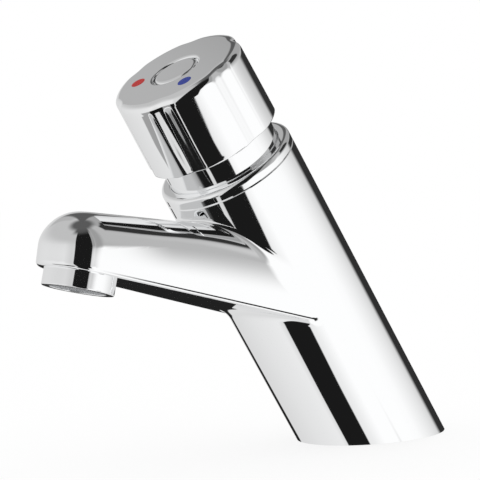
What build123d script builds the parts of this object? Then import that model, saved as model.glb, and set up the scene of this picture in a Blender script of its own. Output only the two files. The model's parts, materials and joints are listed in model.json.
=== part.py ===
from build123d import *
import os
from math import asin, atan2, cos, hypot, radians, sin, tan

# Push timed mixing tap: the body leans over the basin, and its spout leaves the front.
# The origin is where the leaning axis meets the flat base, +Z is up, and the spout points to -X.
# A station is a distance from the origin along the leaning axis.

# Stance and general clearances
lean = 31.0
fit = 0.05
wide_gap = 0.3
overrun = 5.0
edge_break = 0.35

# Body casting
body_wall = 2.4
body_top = 119.2
nut_bore_step = 1.0
nut_bore_floor = 112.7
flange_gap = 2.6
sleeve_fit = 0.2
cartridge_shoulder = 106.0
chamber_floor = 64.0
recess_radius = 16.5
recess_depth = 12.0
groove_inner = 18.8
groove_outer = 21.4
groove_depth = 2.0
front_valley_radius = 2.0
leg_valley_radius = 9.0

# Spout, seen square to its flat underside
underside_tilt = 16.0
outlet_reach = 128.0
nose_radius = 14.8
nose_lead = 0.7
taper_length = 66.0
taper_inset = 1.87
root_length = 107.0
root_inset = 0.4
nose_thickness = 21.0
crown_tilt = 6.4
crown_drop = 4.24
crown_radius = 12.0
underside_edge = 1.6
edge_length = 55.0
waterway_radius = 5.5
waterway_height = 12.0
waterway_length = 72.0
waterway_start = 3.0
outlet_pocket = 11.65
outlet_pocket_depth = 9.0

# Water inlets and fixing stud in the base recess
inlet_radius = 4.46
inlet_length = 10.0
filter_pocket = 2.0
filter_radius = 4.15
inlet_spread = 6.4
port_offset = 5.5
passage_radius = 4.1
passage_top = 60.0
port_radius = 2.8
stud_offset = 8.0
stud_radius = 3.32
stud_length = 9.0

# Collar ring nut
collar_band = 2.5
collar_height = 4.1
collar_round = 1.8
seal_groove_width = 1.8
seal_groove_depth = 1.4

# Push knob
skirt_gap = 0.6
skirt_wall = 1.6
skirt_bottom = 115.0
knob_bottom = 132.1
knob_top = 161.2
knob_inset = 0.5
knob_draft = 0.4
knob_round = 2.8
knob_lower_round = 0.5
knob_ceiling = 4.2
hub_radius = 7.0
hub_bottom = 128.0
flute_count = 6
flute_angle = 30.0
flute_radius = 16.0
flute_depth = 0.85
cap_radius = 8.6
cap_depth = 2.0
cap_round = 0.45
dot_radius = 2.7
dot_depth = 1.0
dot_circle = 15.0
dot_angle = 120.0
dot_rise = 0.08

# Knob screw
screw_radius = 2.0
screw_head_radius = 3.5
screw_head_height = 3.0
screw_length = 13.0
screw_key_radius = 1.5
screw_key_depth = 1.8
screw_web = 3.3
screw_head_space = 1.0
counterbore_radius = 4.2

# Spindle
spindle_hex_radius = 3.85
spindle_radius = 3.9
spindle_square = 6.4
square_length = 14.1
stem_radius = 3.0
tap_drill_length = 10.5

# Cartridge head with its timing chamber
head_bottom = 98.6
head_floor = 2.4
head_flange_height = 3.5
flange_step = 1.5
neck_gap = 2.0
neck_top = 117.0
timing_wall = 2.45
gland_depth = 4.0
gland_hex_inset = 0.5
gland_hex_height = 2.5
head_seal_width = 1.8
head_seal_depth = 1.2
gland_seal_width = 1.8
gland_seal_depth = 1.6
floor_hole_radius = 4.9
notch_width = 3.0

# Timing piston
piston_height = 4.0
piston_seal_width = 1.6
piston_seal_depth = 1.4
metering_radius = 0.5
piston_headroom = 0.4

# Return spring and its washer
spring_inset = 3.0
spring_wire = 1.4
spring_turns = 12.0
washer_thickness = 0.8
washer_margin = 1.5
washer_gap = 1.9

# Mixing rotor, valve plug and discs
rotor_radius = 13.5
rotor_wall = 3.0
rotor_roof = 4.3
seat_bottom = 86.0
seat_thickness = 2.5
seat_radius = 5.5
window_width = 9.0
window_margin = 0.4
plug_radius = 7.2
plug_thickness = 2.2
plug_floor = 0.8
valve_washer_thickness = 2.0
disc_thickness = 3.0
fixed_disc_step = 0.5
disc_bottom = 68.3
slot_width = 4.0
slot_half_angle = 50.0
lug_radius = 1.0
lug_height = 1.5
lug_inset = 1.7
disc_port_radius = 2.6
disc_port_circle = 8.44

# Cartridge base and sleeve
base_bottom = 64.6
base_rim = 3.7
rim_gap = 0.3
sleeve_gap = 2.0
sleeve_wall = 1.8
sleeve_window_width = 11.0
sleeve_window_height = 12.0
sleeve_window_bottom = 80.0
ring_seal_inner = 3.1
ring_seal_outer = 4.7
ring_seal_height = 1.6

# Check valves in the two water passages
check_bottom = 44.0
check_length = 14.0
check_inner = 3.1
check_seat_radius = 1.9
check_seat_height = 2.0
check_roof = 2.0
poppet_radius = 2.6
poppet_thickness = 1.5
poppet_stem_radius = 0.8
poppet_stem_top = 1.0
check_hole_radius = 0.6
check_hole_circle = 2.1
check_hole_count = 6
check_spring_radius = 1.7
check_spring_wire = 0.4
check_spring_turns = 6.0

# Inlet filters
filter_thickness = 0.8
filter_hole_radius = 0.3
filter_hole_pitch = 1.15
filter_rings = 3

# Aerator
aerator_radius = 12.5
aerator_height = 5.9
aerator_thread_length = 7.0
aerator_bore = 10.2
aerator_lip = 0.7
aerator_lip_width = 0.6
regulator_flange = 0.8
regulator_skirt = 2.4
insert_wall = 1.2
grid_thickness = 2.5
grid_hole_radius = 0.65
grid_pitch = 2.35
grid_rings = 3
ring_holes = 6
gasket_inner = 8.6
regulator_hole_radius = 1.1
regulator_hole_circle = 4.6
regulator_hole_count = 8

# Radii that follow from the rotor outwards
lug_circle = rotor_radius - lug_inset
fixed_disc_radius = rotor_radius + fixed_disc_step
rim_inner = fixed_disc_radius + rim_gap
sleeve_inner = rotor_radius + sleeve_gap
sleeve_outer = sleeve_inner + sleeve_wall
cartridge_bore = sleeve_outer + sleeve_fit
flange_radius = cartridge_bore + flange_step
skirt_bore = flange_radius + flange_gap
skirt_radius = skirt_bore - skirt_gap
nut_bore = skirt_bore + nut_bore_step
body_radius = nut_bore + body_wall
knob_radius = body_radius - knob_inset
knob_top_radius = knob_radius - knob_draft
skirt_inner = skirt_radius - skirt_wall
washer_outer = skirt_inner - washer_gap
spring_mean_radius = washer_outer - spring_inset
washer_inner = spring_mean_radius - washer_margin
neck_radius = spring_mean_radius - neck_gap
timing_bore = neck_radius - timing_wall
gland_hex_radius = neck_radius - gland_hex_inset

# Places that follow from the sizes above
axis_dir = Vector(-sin(radians(lean)), 0, cos(radians(lean)))
back_dir = Vector(cos(radians(lean)), 0, sin(radians(lean)))
stack_axis = Axis((0, 0, 0), axis_dir)
profile_plane = Plane(origin=(0, 0, 0), x_dir=back_dir, z_dir=(0, -1, 0))
outlet_dir = Vector(-sin(radians(underside_tilt)), 0, -cos(radians(underside_tilt)))
nose_dir = Vector(-cos(radians(underside_tilt)), 0, sin(radians(underside_tilt)))
nose_axis = Axis((0, 0, 0), nose_dir)
crown_axis = Axis((0, 0, 0), -outlet_dir)
outlet_axis = Axis((0, 0, 0), outlet_dir)
front_edge = axis_dir * body_top - back_dir * body_radius
front_run = front_edge.X + outlet_reach
crown_slope = tan(radians(crown_tilt))
crown_rise = front_run * (cos(radians(underside_tilt)) * crown_slope - sin(radians(underside_tilt)))
crown_scale = cos(radians(underside_tilt)) + sin(radians(underside_tilt)) * crown_slope
outlet_height = front_edge.Z - (nose_thickness + crown_drop + crown_rise) / crown_scale
root_half_width = body_radius - root_inset
flank_half_width = body_radius - taper_inset
flank_run = taper_length + nose_lead
outlet_plane = Plane(origin=(-outlet_reach, 0, outlet_height), x_dir=nose_dir, z_dir=outlet_dir)
lug_angles = (90, 270)
water_sides = {"hot": 1, "cold": -1}
inlet_top = recess_depth + inlet_length + filter_pocket
inlet_place = (port_offset - inlet_top * sin(radians(lean))) / cos(radians(lean))
passage_start = (inlet_top - port_offset * sin(radians(lean))) / cos(radians(lean))
cap_floor = knob_top - cap_depth
cavity_top = knob_top - knob_ceiling
web_top = cap_floor - screw_head_height - screw_head_space
socket_top = web_top - screw_web
flange_top = cartridge_shoulder + head_flange_height
timing_floor = head_bottom + head_floor
timing_top = neck_top - gland_depth
piston_top = timing_top - piston_headroom
piston_bottom = piston_top - piston_height
square_bottom = piston_bottom - square_length
plug_bottom = seat_bottom - valve_washer_thickness - plug_thickness
rotor_top = head_bottom - wide_gap
roof_bottom = rotor_top - rotor_roof
moving_disc_bottom = disc_bottom + disc_thickness
rotor_bottom = moving_disc_bottom + disc_thickness
rotor_inner = rotor_radius - rotor_wall
seat_top = seat_bottom + seat_thickness
rim_top = disc_bottom + base_rim
check_top = check_bottom + check_length
check_seat = check_bottom + check_seat_height
check_roof_bottom = check_top - check_roof
passage_length = passage_top - passage_start
skirt_guide = skirt_radius + fit
insert_top = aerator_thread_length - regulator_flange
insert_inner = aerator_bore - fit - insert_wall


# Plane square to the leaning axis, moved back or sideways where asked
def station(height, back=0, side=0):
    origin = axis_dir * height + back_dir * back + Vector(0, side, 0)
    return Plane(origin=origin, x_dir=back_dir, z_dir=axis_dir)


def polar(radius, angle):
    return (radius * cos(radians(angle)), radius * sin(radians(angle)))


# Plain ring that stands on a plane
def tube(plane, outer, inner, height):
    with BuildPart() as ring:
        with BuildSketch(plane):
            Circle(outer)
            Circle(inner, mode=Mode.SUBTRACT)
        extrude(amount=height)
    return ring.part


# Round hole cut out of the part being built
def bore(plane, radius, length):
    with Locations(plane):
        Cylinder(radius, length, align=(Align.CENTER, Align.CENTER, Align.MIN), mode=Mode.SUBTRACT)


# Round-wire spring with its wire wholly between the plane and the height
def coil(plane, mean_radius, wire, turns, height):
    pitch = (height - wire) / turns
    base = plane.origin + plane.z_dir * (wire / 2)
    path = Helix(pitch, height - wire, mean_radius, center=base, direction=plane.z_dir, mode=Mode.PRIVATE)
    with BuildPart() as spring:
        with BuildSketch(Plane(origin=path @ 0, z_dir=path % 0)):
            Circle(wire / 2)
        sweep(path=path, is_frenet=True)
    print("spring gap between turns:", round(pitch - wire, 2))
    return spring.part


def save(part, name):
    part.label = name
    export_step(part, f"parts/{name}.step")


os.makedirs("parts", exist_ok=True)

# Spout: a prism on the underside plane, cut by the sloping crown and rounded over
taper = atan2(flank_half_width, flank_run) - asin(nose_radius / hypot(flank_half_width, flank_run))
side_start = (nose_lead + nose_radius * sin(taper), nose_radius * cos(taper))
side_end = (-taper_length, flank_half_width)
crown_plane = Plane(
    origin=outlet_plane.origin - outlet_dir * nose_thickness,
    x_dir=(0, 1, 0),
    z_dir=-outlet_dir.rotate(Axis((0, 0, 0), (0, 1, 0)), -crown_tilt),
)
with BuildPart() as spout:
    with BuildSketch(outlet_plane):
        with BuildLine():
            near_side = Line(side_start, side_end)
            near_root = TangentArc([near_side @ 1, (-root_length, root_half_width)], tangent=near_side % 1)
            far_side = Line((side_start[0], -side_start[1]), (side_end[0], -side_end[1]))
            far_root = TangentArc([far_side @ 1, (-root_length, -root_half_width)], tangent=far_side % 1)
            Line(near_root @ 1, far_root @ 1)
            ThreePointArc(side_start, (nose_lead + nose_radius, 0), (side_start[0], -side_start[1]))
        make_face()
    extrude(amount=-2 * root_half_width)
    split(bisect_by=crown_plane, keep=Keep.BOTTOM)
    split(bisect_by=Plane(origin=(0, 0, 0), x_dir=(0, 1, 0), z_dir=back_dir), keep=Keep.BOTTOM)
    crown = spout.faces().sort_by(crown_axis)[-1]
    fillet(crown.edges().sort_by(nose_axis)[1:], crown_radius)

# The slivers that round the spout's underside edge, as far as the valley under it
with BuildPart() as rounded_spout:
    add(spout.part)
    underside = rounded_spout.faces().filter_by(outlet_plane).sort_by(outlet_axis)[-1]
    fillet(underside.edges().sort_by(nose_axis)[-3:], underside_edge)
with BuildPart() as edge_slivers:
    add(spout.part)
    add(rounded_spout.part, mode=Mode.SUBTRACT)
    split(
        bisect_by=Plane(outlet_plane.origin - nose_dir * edge_length, x_dir=(0, 1, 0), z_dir=nose_dir),
        keep=Keep.TOP,
    )

# Leaning cylinder cut flat at the base, with the spout grown into it
with BuildPart() as plain_body:
    with BuildSketch(station(-body_radius)):
        Circle(body_radius)
    extrude(amount=body_radius + body_top)
    split(bisect_by=Plane.XY, keep=Keep.TOP)
    add(spout.part)

# The two valleys where the spout meets the cylinder, each filleted on its own
with BuildPart() as leg_body:
    add(plain_body.part)
    fillet(leg_body.edges().filter_by(GeomType.ELLIPSE).sort_by(Axis.Z)[1], leg_valley_radius)
with BuildPart() as front_body:
    add(plain_body.part)
    fillet(front_body.edges().filter_by(GeomType.ELLIPSE).sort_by(Axis.Z)[-1], front_valley_radius)

# Body: both filleted shells in one, then its bores
with BuildPart() as tap_body:
    add(leg_body.part)
    add(front_body.part)
    add(edge_slivers.part, mode=Mode.SUBTRACT)

    # Base recess with the gasket groove round it, both square to the deck
    bore(Plane.XY, recess_radius, recess_depth)
    with BuildSketch(Plane.XY):
        Circle(groove_outer)
        Circle(groove_inner, mode=Mode.SUBTRACT)
    extrude(amount=groove_depth, mode=Mode.SUBTRACT)

    # Cartridge chamber, skirt bore and nut bore on the leaning axis
    bore(station(chamber_floor), cartridge_bore, cartridge_shoulder - chamber_floor)
    bore(station(cartridge_shoulder), skirt_bore, nut_bore_floor - cartridge_shoulder)
    bore(station(nut_bore_floor), nut_bore, body_top - nut_bore_floor)

    # Waterway from the chamber to the outlet pocket
    waterway_plane = Plane(
        origin=outlet_plane.origin - outlet_dir * waterway_height - nose_dir * waterway_start,
        x_dir=(0, 1, 0),
        z_dir=-nose_dir,
    )
    bore(waterway_plane, waterway_radius, waterway_length)
    bore(Plane(outlet_plane.origin, x_dir=(0, 1, 0), z_dir=-outlet_dir), outlet_pocket, outlet_pocket_depth)

    # Hot and cold inlets, and the blind hole for the fixing stud
    for side in water_sides.values():
        inlet_mouth = Plane((inlet_place, side * inlet_spread, recess_depth))
        bore(inlet_mouth, inlet_radius, inlet_length)
        bore(inlet_mouth.offset(inlet_length), filter_radius + fit, filter_pocket)
        bore(station(passage_start, port_offset, side * inlet_spread), passage_radius, passage_length)
        bore(station(passage_top, port_offset, side * inlet_spread), port_radius, chamber_floor - passage_top)
    bore(Plane((stud_offset, 0, recess_depth)), stud_radius, stud_length)

# Collar ring: a threaded ring nut whose bore guides the skirt
seal_floor = body_top + (collar_band - seal_groove_width) / 2
with BuildPart() as collar_ring:
    with BuildSketch(profile_plane):
        with Locations((skirt_guide, nut_bore_floor + wide_gap)):
            Rectangle(
                nut_bore - fit - skirt_guide,
                body_top - nut_bore_floor - wide_gap,
                align=(Align.MIN, Align.MIN),
            )
        with Locations((skirt_guide, body_top)):
            Rectangle(body_radius - skirt_guide, collar_height, align=(Align.MIN, Align.MIN))
        with Locations((skirt_guide, seal_floor)):
            Rectangle(seal_groove_depth, seal_groove_width, align=(Align.MIN, Align.MIN), mode=Mode.SUBTRACT)
    revolve(axis=stack_axis)
    top_face = collar_ring.faces().filter_by(station(0)).sort_by(stack_axis)[-1]
    fillet(top_face.edges().sort_by(SortBy.LENGTH)[-1], collar_round)

skirt_seal = tube(station(seal_floor), skirt_guide + seal_groove_depth - fit, skirt_guide, seal_groove_width)

# Push knob: head, skirt and hub in one piece
with BuildPart() as flute:
    foot = axis_dir * knob_bottom + back_dir * (knob_radius - flute_depth + flute_radius)
    crest = axis_dir * knob_top + back_dir * (knob_top_radius - flute_depth + flute_radius)
    flute_dir = (crest - foot).normalized()
    with BuildSketch(Plane(origin=foot - flute_dir * overrun, x_dir=(0, 1, 0), z_dir=flute_dir)):
        Circle(flute_radius)
    extrude(amount=knob_top - knob_bottom + 2 * overrun)

with BuildPart() as push_knob:
    with BuildSketch(profile_plane):
        with BuildLine():
            Polyline(
                (0, cavity_top),
                (skirt_inner, cavity_top),
                (skirt_inner, skirt_bottom),
                (skirt_radius, skirt_bottom),
                (skirt_radius, knob_bottom),
                (knob_radius, knob_bottom),
                (knob_top_radius, knob_top),
                (0, knob_top),
                (0, cavity_top),
            )
        make_face()
    revolve(axis=stack_axis)
    knob_face = push_knob.faces().filter_by(station(0)).sort_by(stack_axis)[-1]
    fillet(knob_face.edges(), knob_round)
    rims = push_knob.edges().filter_by(GeomType.CIRCLE)
    lower_rims = rims.filter_by_position(stack_axis, knob_bottom - fit, knob_bottom + fit)
    fillet(lower_rims.sort_by(SortBy.LENGTH)[-1], knob_lower_round)
    for index in range(flute_count):
        add(flute.part.rotate(stack_axis, flute_angle + index * 360 / flute_count), mode=Mode.SUBTRACT)
    with BuildSketch(station(hub_bottom)):
        Circle(hub_radius)
    extrude(amount=cavity_top - hub_bottom)
    with BuildSketch(station(hub_bottom)):
        RegularPolygon(spindle_hex_radius + fit, 6)
    extrude(amount=socket_top - hub_bottom, mode=Mode.SUBTRACT)
    bore(station(socket_top), screw_radius + wide_gap, web_top - socket_top)
    bore(station(web_top), counterbore_radius, cap_floor - web_top)
    bore(station(cap_floor), cap_radius + fit, cap_depth)
    with BuildSketch(station(knob_top - dot_depth)):
        with Locations(polar(dot_circle, dot_angle), polar(dot_circle, -dot_angle)):
            Circle(dot_radius + fit)
    extrude(amount=dot_depth, mode=Mode.SUBTRACT)

with BuildPart() as knob_cap:
    with BuildSketch(station(cap_floor)):
        Circle(cap_radius)
    extrude(amount=cap_depth)
    fillet(knob_cap.faces().sort_by(stack_axis)[-1].edges(), cap_round)


# Flat enamel dot, raised a little over the knob's top
def temperature_dot(angle):
    with BuildPart() as dot:
        with BuildSketch(station(knob_top - dot_depth)):
            with Locations(polar(dot_circle, angle)):
                Circle(dot_radius)
        extrude(amount=dot_depth + dot_rise)
    return dot.part


# Socket head screw that holds the knob on the spindle
with BuildPart() as knob_screw:
    with BuildSketch(station(web_top)):
        Circle(screw_head_radius)
    extrude(amount=screw_head_height)
    with BuildSketch(station(web_top - screw_length)):
        Circle(screw_radius)
    extrude(amount=screw_length)
    with BuildSketch(station(web_top + screw_head_height - screw_key_depth)):
        RegularPolygon(screw_key_radius, 6)
    extrude(amount=screw_key_depth, mode=Mode.SUBTRACT)

# Spindle: hexagon for the knob, round shank, square for the rotor, stem for the valve
with BuildPart() as spindle:
    with BuildSketch(station(hub_bottom)):
        RegularPolygon(spindle_hex_radius, 6)
    extrude(amount=socket_top - hub_bottom)
    with BuildSketch(station(piston_bottom)):
        Circle(spindle_radius)
    extrude(amount=hub_bottom - piston_bottom)
    with BuildSketch(station(square_bottom)):
        Rectangle(spindle_square, spindle_square)
    extrude(amount=square_length)
    with BuildSketch(station(plug_bottom + plug_floor)):
        Circle(stem_radius)
    extrude(amount=square_bottom - plug_bottom - plug_floor)
    bore(station(socket_top - tap_drill_length), screw_radius + fit, tap_drill_length)

# Cartridge head: threaded plug, flange and neck round the timing chamber
head_seal_floor = (head_bottom + cartridge_shoulder - head_seal_width) / 2
head_groove = tube(
    station(head_seal_floor), cartridge_bore, cartridge_bore - fit - head_seal_depth, head_seal_width
)
with BuildPart() as cartridge_head:
    with BuildSketch(station(head_bottom)):
        Circle(cartridge_bore - fit)
    extrude(amount=cartridge_shoulder - head_bottom)
    with BuildSketch(station(cartridge_shoulder)):
        Circle(flange_radius)
        with PolarLocations(flange_radius, 2):
            Rectangle(2 * notch_width, notch_width, mode=Mode.SUBTRACT)
    extrude(amount=head_flange_height)
    with BuildSketch(station(flange_top)):
        Circle(neck_radius)
    extrude(amount=neck_top - flange_top)
    bore(station(head_bottom), floor_hole_radius, head_floor)
    bore(station(timing_floor), timing_bore, neck_top - timing_floor)
    add(head_groove, mode=Mode.SUBTRACT)

head_seal = tube(
    station(head_seal_floor), cartridge_bore - fit, cartridge_bore - head_seal_depth, head_seal_width
)

# Gland nut that closes the timing chamber round the spindle
gland_seal_floor = timing_top + (gland_depth - gland_seal_width) / 2
with BuildPart() as gland_nut:
    with BuildSketch(station(timing_top)):
        Circle(timing_bore - fit)
    extrude(amount=gland_depth)
    with BuildSketch(station(neck_top)):
        RegularPolygon(gland_hex_radius, 6)
    extrude(amount=gland_hex_height)
    bore(station(timing_top), spindle_radius + fit, gland_depth + gland_hex_height)
    bore(station(gland_seal_floor), spindle_radius + fit + gland_seal_depth, gland_seal_width)

spindle_seal = tube(
    station(gland_seal_floor), spindle_radius + gland_seal_depth, spindle_radius + fit, gland_seal_width
)

# Timing piston with its metering hole
piston_seal_floor = (piston_bottom + piston_top - piston_seal_width) / 2
piston_groove = tube(
    station(piston_seal_floor), timing_bore, timing_bore - fit - piston_seal_depth, piston_seal_width
)
with BuildPart() as timing_piston:
    with BuildSketch(station(piston_bottom)):
        Circle(timing_bore - fit)
        Circle(spindle_radius + fit, mode=Mode.SUBTRACT)
        with Locations(((spindle_radius + timing_bore - piston_seal_depth) / 2, 0)):
            Circle(metering_radius, mode=Mode.SUBTRACT)
    extrude(amount=piston_height)
    add(piston_groove, mode=Mode.SUBTRACT)

piston_seal = tube(
    station(piston_seal_floor), timing_bore - fit, timing_bore - piston_seal_depth, piston_seal_width
)

# Return spring and the washer that carries it under the knob's ceiling
spring_washer = tube(station(cavity_top - washer_thickness), washer_outer, washer_inner, washer_thickness)
spring_room = cavity_top - washer_thickness - flange_top
return_spring = coil(station(flange_top), spring_mean_radius, spring_wire, spring_turns, spring_room)

# Mixing rotor: square drive in the roof, windows in the wall, valve seat below them
with BuildPart() as mixing_rotor:
    with BuildSketch(station(rotor_bottom)):
        Circle(rotor_radius)
    extrude(amount=rotor_top - rotor_bottom)
    bore(station(rotor_bottom), rotor_inner, seat_bottom - rotor_bottom)
    bore(station(seat_bottom), seat_radius, seat_thickness)
    bore(station(seat_top), rotor_inner, roof_bottom - seat_top)
    with BuildSketch(station(roof_bottom)):
        Rectangle(spindle_square + 2 * fit, spindle_square + 2 * fit)
    extrude(amount=rotor_roof, mode=Mode.SUBTRACT)
    with BuildSketch(station(seat_top + window_margin)):
        Rectangle(2 * rotor_radius + 2 * overrun, window_width)
        Rectangle(window_width, 2 * rotor_radius + 2 * overrun)
    extrude(amount=roof_bottom - seat_top - 2 * window_margin, mode=Mode.SUBTRACT)
    with BuildSketch(station(rotor_bottom - lug_height)):
        with Locations([polar(lug_circle, angle) for angle in lug_angles]):
            Circle(lug_radius)
    extrude(amount=lug_height)

# Valve plug screwed to the stem, with the rubber washer that closes the seat
with BuildPart() as valve_plug:
    with BuildSketch(station(plug_bottom)):
        Circle(plug_radius)
    extrude(amount=plug_thickness)
    bore(station(plug_bottom + plug_floor), stem_radius + fit, plug_thickness - plug_floor)

washer_plane = station(plug_bottom + plug_thickness)
valve_washer = tube(washer_plane, plug_radius, stem_radius + fit, valve_washer_thickness)

# Ceramic discs that set the mix
with BuildPart() as moving_disc:
    with BuildSketch(station(moving_disc_bottom)):
        Circle(rotor_radius)
        with BuildLine(mode=Mode.PRIVATE) as slot_path:
            CenterArc((0, 0), disc_port_circle, -slot_half_angle, 2 * slot_half_angle)
        SlotArc(slot_path.edge(), slot_width, mode=Mode.SUBTRACT)
    extrude(amount=disc_thickness)
    with BuildSketch(station(rotor_bottom - lug_height - fit)):
        with Locations([polar(lug_circle, angle) for angle in lug_angles]):
            Circle(lug_radius + fit)
    extrude(amount=lug_height + fit, mode=Mode.SUBTRACT)

with BuildPart() as fixed_disc:
    with BuildSketch(station(disc_bottom)):
        Circle(fixed_disc_radius)
        with Locations((port_offset, inlet_spread), (port_offset, -inlet_spread)):
            Circle(disc_port_radius, mode=Mode.SUBTRACT)
    extrude(amount=disc_thickness)

# Cartridge base that carries the discs, and the slotted sleeve round the rotor
seal_grooves = [
    tube(
        station(base_bottom, port_offset, side * inlet_spread),
        ring_seal_outer + fit,
        ring_seal_inner - fit,
        ring_seal_height - base_bottom + chamber_floor,
    )
    for side in water_sides.values()
]
with BuildPart() as cartridge_base:
    with BuildSketch(station(base_bottom)):
        Circle(sleeve_outer)
    extrude(amount=rim_top - base_bottom)
    bore(station(disc_bottom), rim_inner, rim_top - disc_bottom)
    with BuildSketch(station(base_bottom)):
        with Locations((port_offset, inlet_spread), (port_offset, -inlet_spread)):
            Circle(disc_port_radius)
    extrude(amount=disc_bottom - base_bottom, mode=Mode.SUBTRACT)
    add(seal_grooves, mode=Mode.SUBTRACT)

with BuildPart() as cartridge_sleeve:
    with BuildSketch(station(rim_top)):
        Circle(sleeve_outer)
        Circle(sleeve_inner, mode=Mode.SUBTRACT)
    extrude(amount=head_bottom - rim_top)
    with BuildSketch(station(sleeve_window_bottom)):
        Rectangle(2 * sleeve_outer + 2 * overrun, sleeve_window_width)
        Rectangle(sleeve_window_width, 2 * sleeve_outer + 2 * overrun)
    extrude(amount=sleeve_window_height, mode=Mode.SUBTRACT)


# Check valve housing: seat below, guide and flow holes in the roof
def check_body(side):
    place = (port_offset, side * inlet_spread)
    with BuildPart() as housing:
        with BuildSketch(station(check_bottom, *place)):
            Circle(passage_radius - fit)
        extrude(amount=check_length)
        bore(station(check_bottom, *place), check_seat_radius, check_seat_height)
        bore(station(check_seat, *place), check_inner, check_roof_bottom - check_seat)
        with BuildSketch(station(check_roof_bottom, *place)):
            Circle(poppet_stem_radius + fit)
            with PolarLocations(check_hole_circle, check_hole_count):
                Circle(check_hole_radius)
        extrude(amount=check_roof, mode=Mode.SUBTRACT)
    return housing.part


def check_poppet(side):
    place = (port_offset, side * inlet_spread)
    with BuildPart() as poppet:
        with BuildSketch(station(check_seat, *place)):
            Circle(poppet_radius)
        extrude(amount=poppet_thickness)
        with BuildSketch(station(check_seat + poppet_thickness, *place)):
            Circle(poppet_stem_radius)
        extrude(amount=check_top + poppet_stem_top - check_seat - poppet_thickness)
    return poppet.part


def check_spring(side):
    foot = station(check_seat + poppet_thickness, port_offset, side * inlet_spread)
    room = check_roof_bottom - check_seat - poppet_thickness
    return coil(foot, check_spring_radius, check_spring_wire, check_spring_turns, room)


# Perforated filter disc pressed into the top of an inlet
def inlet_filter(side):
    with BuildPart() as disc:
        with BuildSketch(Plane((inlet_place, side * inlet_spread, inlet_top - filter_thickness))):
            Circle(filter_radius)
            Circle(filter_hole_radius, mode=Mode.SUBTRACT)
            for ring in range(filter_rings):
                with PolarLocations(filter_hole_pitch * (ring + 1), ring_holes * (ring + 1)):
                    Circle(filter_hole_radius, mode=Mode.SUBTRACT)
        extrude(amount=filter_thickness)
    return disc.part


# Plane square to the outlet, a distance under the spout's underside
def outlet_level(distance):
    return Plane(origin=outlet_plane.origin + outlet_dir * distance, x_dir=(0, 1, 0), z_dir=-outlet_dir)


with BuildPart() as aerator_ring:
    with BuildSketch(outlet_level(aerator_height)):
        Circle(aerator_radius)
    extrude(amount=aerator_height)
    chamfer(aerator_ring.faces().sort_by(outlet_axis)[-1].edges(), edge_break)
    with BuildSketch(outlet_level(0)):
        Circle(outlet_pocket - fit)
    extrude(amount=aerator_thread_length)
    bore(outlet_level(aerator_height), aerator_bore - aerator_lip_width, aerator_lip)
    bore(outlet_level(aerator_height - aerator_lip), aerator_bore, aerator_height + aerator_thread_length)

with BuildPart() as aerator_insert:
    with BuildSketch(outlet_level(aerator_height - aerator_lip)):
        Circle(aerator_bore - fit)
    extrude(amount=aerator_height - aerator_lip + insert_top)
    bore(
        outlet_level(aerator_height - aerator_lip - grid_thickness),
        insert_inner,
        aerator_height + insert_top,
    )
    with BuildSketch(outlet_level(aerator_height - aerator_lip)):
        Circle(grid_hole_radius)
        for ring in range(grid_rings):
            with PolarLocations(grid_pitch * (ring + 1), ring_holes * (ring + 1)):
                Circle(grid_hole_radius)
    extrude(amount=grid_thickness, mode=Mode.SUBTRACT)

with BuildPart() as flow_regulator:
    with BuildSketch(outlet_level(regulator_skirt - insert_top)):
        Circle(insert_inner - fit)
    extrude(amount=regulator_skirt)
    with BuildSketch(outlet_level(-insert_top)):
        Circle(aerator_bore - fit)
    extrude(amount=regulator_flange)
    with BuildSketch(outlet_level(regulator_skirt - insert_top)):
        with PolarLocations(regulator_hole_circle, regulator_hole_count):
            Circle(regulator_hole_radius)
    extrude(amount=regulator_skirt + regulator_flange, mode=Mode.SUBTRACT)

aerator_gasket = tube(
    outlet_level(-aerator_thread_length),
    outlet_pocket - fit,
    gasket_inner,
    outlet_pocket_depth - aerator_thread_length,
)

base_gasket = tube(Plane.XY, groove_outer - fit, groove_inner + fit, groove_depth)

# One file for each piece, all in the same frame
save(tap_body.part, "tap_body")
save(collar_ring.part, "collar_ring")
save(skirt_seal, "skirt_seal")
save(push_knob.part, "push_knob")
save(knob_cap.part, "knob_cap")
save(temperature_dot(dot_angle), "hot_dot")
save(temperature_dot(-dot_angle), "cold_dot")
save(knob_screw.part, "knob_screw")
save(spindle.part, "spindle")
save(cartridge_head.part, "cartridge_head")
save(head_seal, "head_seal")
save(gland_nut.part, "gland_nut")
save(spindle_seal, "spindle_seal")
save(timing_piston.part, "timing_piston")
save(piston_seal, "piston_seal")
save(spring_washer, "spring_washer")
save(return_spring, "return_spring")
save(mixing_rotor.part, "mixing_rotor")
save(valve_plug.part, "valve_plug")
save(valve_washer, "valve_washer")
save(moving_disc.part, "moving_disc")
save(fixed_disc.part, "fixed_disc")
save(cartridge_base.part, "cartridge_base")
save(cartridge_sleeve.part, "cartridge_sleeve")
for water, side in water_sides.items():
    seal_place = station(chamber_floor, port_offset, side * inlet_spread)
    save(tube(seal_place, ring_seal_outer, ring_seal_inner, ring_seal_height), f"{water}_base_seal")
    save(check_body(side), f"{water}_check_body")
    save(check_poppet(side), f"{water}_check_poppet")
    save(check_spring(side), f"{water}_check_spring")
    save(inlet_filter(side), f"{water}_filter")
save(aerator_ring.part, "aerator_ring")
save(aerator_insert.part, "aerator_insert")
save(flow_regulator.part, "flow_regulator")
save(aerator_gasket, "aerator_gasket")
save(base_gasket, "base_gasket")
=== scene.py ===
import json
import math
from contextlib import contextmanager

import bmesh
import bpy
import numpy as np
from mathutils import Matrix, Vector


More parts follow.
